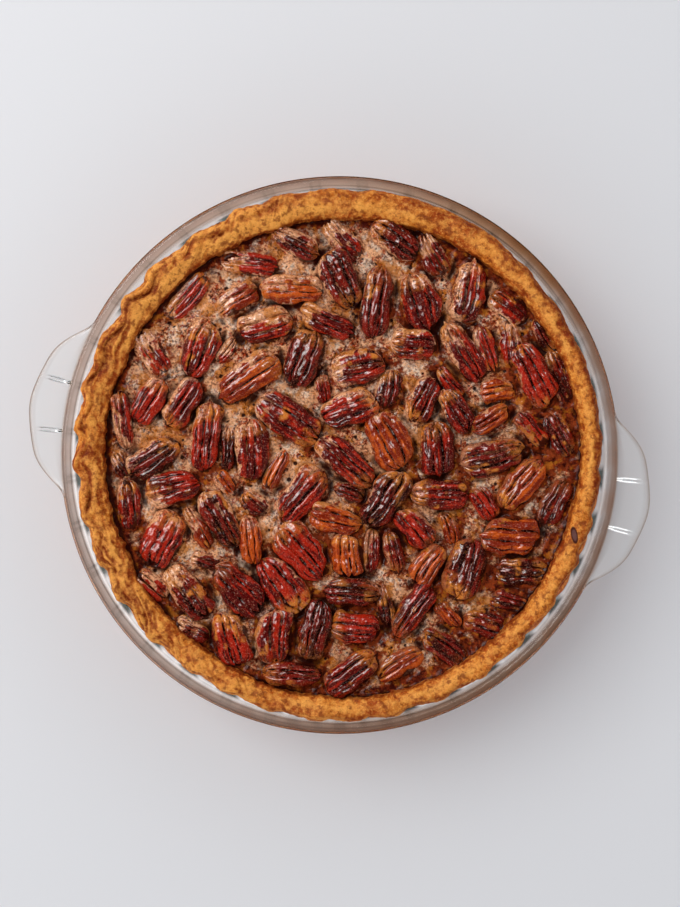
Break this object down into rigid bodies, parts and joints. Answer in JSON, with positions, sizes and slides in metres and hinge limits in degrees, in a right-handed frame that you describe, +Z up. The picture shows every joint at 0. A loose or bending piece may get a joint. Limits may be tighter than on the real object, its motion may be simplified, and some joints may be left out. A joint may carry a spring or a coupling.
{
  "type": "pecan pie",
  "caption": "Whole baked pecan pie in its own clear glass pie plate with a fluted wall and two tab handles, its browned filling covered with glossy pecan halves.",
  "frame": {"origin": "middle of the glass plate's foot, on the surface that it stands on", "axes": "+X along the two tab handles, +Z up out of the filling, +Y across the plate"},
  "size_m": [0.284, 0.251, 0.048],
  "materials": {
    "glass": "clear, smooth",
    "crust": "baked pastry, matte",
    "filling": "baked syrup, satin",
    "pecan_red": "syrup glazed",
    "pecan_dark": "syrup glazed",
    "pecan_orange": "syrup glazed"
  },
  "bodies": {
    "root": {"glass_plate": "glass", "crust": "crust", "filling": "filling", "pecan_01": "pecan_dark", "pecan_02": "pecan_orange", "pecan_03": "pecan_red", "pecan_04": "pecan_red", "pecan_05": "pecan_red", "pecan_06": "pecan_orange", "pecan_07": "pecan_red", "pecan_08": "pecan_red", "pecan_09": "pecan_red", "pecan_10": "pecan_dark", "pecan_11": "pecan_red", "pecan_12": "pecan_red", "pecan_13": "pecan_red", "pecan_14": "pecan_dark", "pecan_15": "pecan_dark", "pecan_16": "pecan_dark", "pecan_17": "pecan_red", "pecan_18": "pecan_dark", "pecan_19": "pecan_red", "pecan_20": "pecan_red", "pecan_21": "pecan_red", "pecan_22": "pecan_red", "pecan_23": "pecan_red", "pecan_24": "pecan_red", "pecan_25": "pecan_red", "pecan_26": "pecan_red", "pecan_27": "pecan_orange", "pecan_28": "pecan_dark", "pecan_29": "pecan_red", "pecan_30": "pecan_orange", "pecan_31": "pecan_red", "pecan_32": "pecan_dark", "pecan_33": "pecan_red", "pecan_34": "pecan_red", "pecan_35": "pecan_orange", "pecan_36": "pecan_orange", "pecan_37": "pecan_dark", "pecan_38": "pecan_orange", "pecan_39": "pecan_red", "pecan_40": "pecan_orange", "pecan_41": "pecan_dark", "pecan_42": "pecan_red", "pecan_43": "pecan_red", "pecan_44": "pecan_red", "pecan_45": "pecan_orange", "pecan_46": "pecan_red", "pecan_47": "pecan_orange", "pecan_48": "pecan_dark", "pecan_49": "pecan_red", "pecan_50": "pecan_red", "pecan_51": "pecan_dark", "pecan_52": "pecan_red", "pecan_53": "pecan_red", "pecan_54": "pecan_red", "pecan_55": "pecan_red", "pecan_56": "pecan_dark", "pecan_57": "pecan_dark"}
  },
  "joints": []
}
